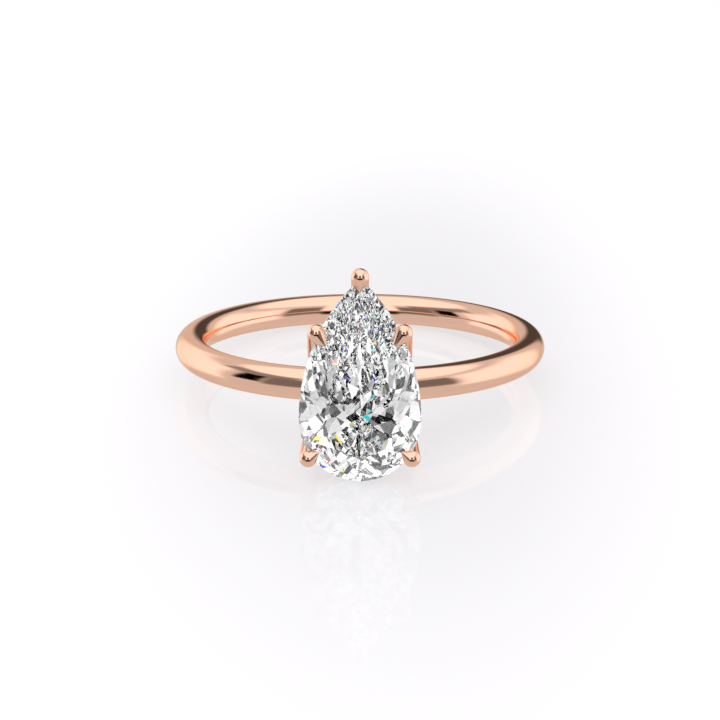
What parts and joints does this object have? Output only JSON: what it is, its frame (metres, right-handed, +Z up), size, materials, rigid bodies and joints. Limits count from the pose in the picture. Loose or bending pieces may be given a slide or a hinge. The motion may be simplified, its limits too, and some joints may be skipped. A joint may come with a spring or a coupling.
{
  "type": "engagement ring",
  "caption": "Finger ring with a polished round-wire shank and a claw basket that holds a pear-shaped brilliant, lying on its side.",
  "frame": {"origin": "on the surface the ring lies on, under the middle of its outline", "axes": "+Z up off that surface, -Y out through the head and the stone's table, +X to the right when the stone is seen face on with its tip up"},
  "size_m": [0.0208, 0.0266, 0.011],
  "materials": {
    "rose_gold": "high polish",
    "diamond": "polished facets"
  },
  "bodies": {
    "root": {"shank": "rose_gold", "head_peg": "rose_gold", "head_bridge": "rose_gold", "lower_gallery_rail": "rose_gold", "upper_gallery_rail": "rose_gold", "prong_tip": "rose_gold", "prong_shoulder_left": "rose_gold", "prong_shoulder_right": "rose_gold", "prong_base_left": "rose_gold", "prong_base_right": "rose_gold", "centre_stone": "diamond"}
  },
  "joints": []
}
